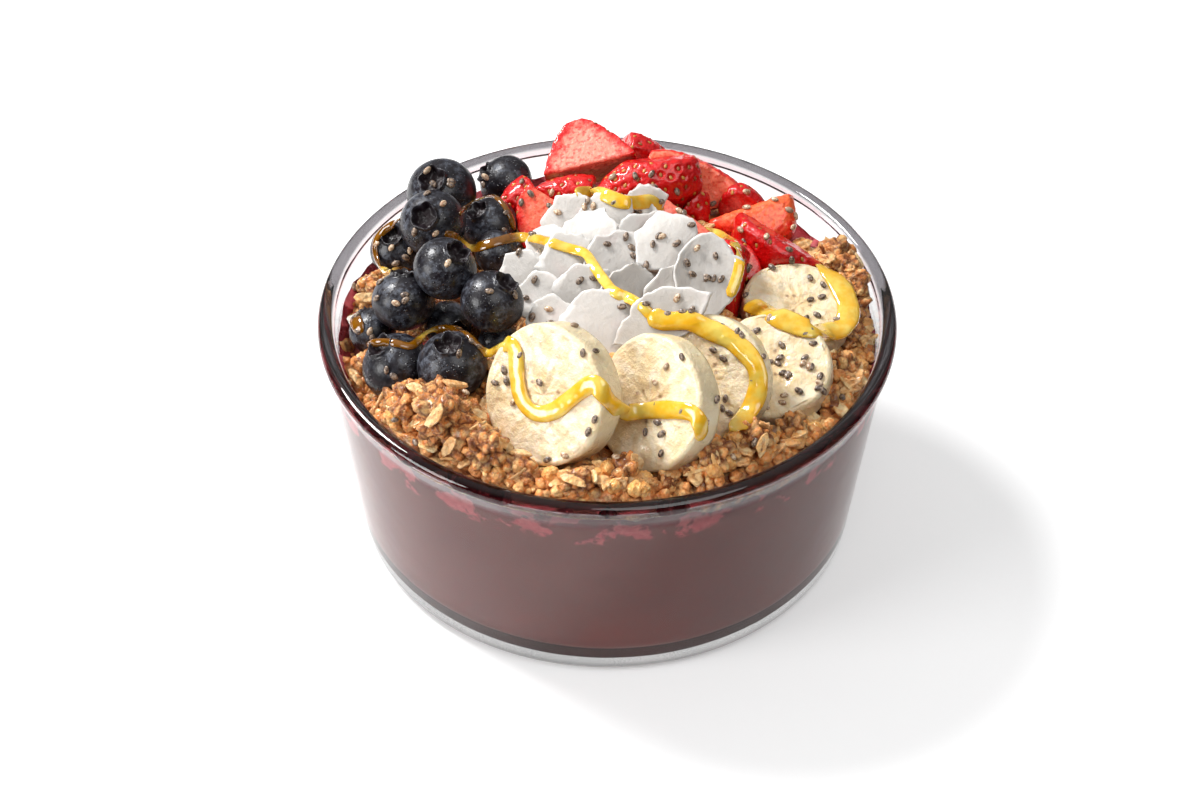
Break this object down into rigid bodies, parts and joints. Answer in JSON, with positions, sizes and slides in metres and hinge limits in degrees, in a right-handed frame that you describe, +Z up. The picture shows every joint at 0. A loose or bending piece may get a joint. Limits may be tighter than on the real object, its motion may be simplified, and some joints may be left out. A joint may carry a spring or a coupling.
{
  "type": "acai bowl",
  "caption": "Clear glass bowl of acai topped with granola, blueberries, strawberry pieces, coconut flakes, banana slices, a honey drizzle and chia seeds.",
  "frame": {"origin": "middle of the bowl's foot, on the table", "axes": "+Z up; -Y is the side that the toppings face, with the blueberries towards -X and the strawberries towards +Y"},
  "size_m": [0.124, 0.124, 0.0784],
  "materials": {
    "glass": "clear pressed glass, polished",
    "acai": "thick dark purple-red fruit puree, slightly glossy where wet",
    "granola": "baked oat clumps, rough, golden brown",
    "blueberry": "dark blue-black skin with a dusty bloom",
    "strawberry": "moist red skin and flesh",
    "coconut": "dry white flakes, satin",
    "banana": "moist cream-coloured cut flesh, satin"
  },
  "bodies": {
    "root": {"bowl": "glass", "acai": "acai", "granola": "granola", "blueberry_01": "blueberry", "blueberry_02": "blueberry", "blueberry_03": "blueberry", "blueberry_04": "blueberry", "blueberry_05": "blueberry", "blueberry_06": "blueberry", "blueberry_07": "blueberry", "blueberry_08": "blueberry", "blueberry_09": "blueberry", "blueberry_10": "blueberry", "blueberry_11": "blueberry", "blueberry_12": "blueberry", "blueberry_13": "blueberry", "blueberry_14": "blueberry", "strawberry_01": "strawberry", "strawberry_02": "strawberry", "strawberry_03": "strawberry", "strawberry_04": "strawberry", "strawberry_05": "strawberry", "strawberry_06": "strawberry", "strawberry_07": "strawberry", "strawberry_08": "strawberry", "strawberry_09": "strawberry", "strawberry_10": "strawberry", "strawberry_11": "strawberry", "strawberry_12": "strawberry", "strawberry_13": "strawberry", "strawberry_14": "strawberry", "banana_1": "banana", "banana_2": "banana", "banana_3": "banana", "banana_4": "banana", "banana_5": "banana", "coconut_01": "coconut", "coconut_02": "coconut", "coconut_03": "coconut", "coconut_04": "coconut", "coconut_05": "coconut", "coconut_06": "coconut", "coconut_07": "coconut", "coconut_08": "coconut", "coconut_09": "coconut", "coconut_10": "coconut", "coconut_11": "coconut", "coconut_12": "coconut", "coconut_13": "coconut", "coconut_14": "coconut", "coconut_15": "coconut", "coconut_16": "coconut", "coconut_17": "coconut", "coconut_18": "coconut", "coconut_19": "coconut", "coconut_20": "coconut", "coconut_21": "coconut"}
  },
  "joints": []
}
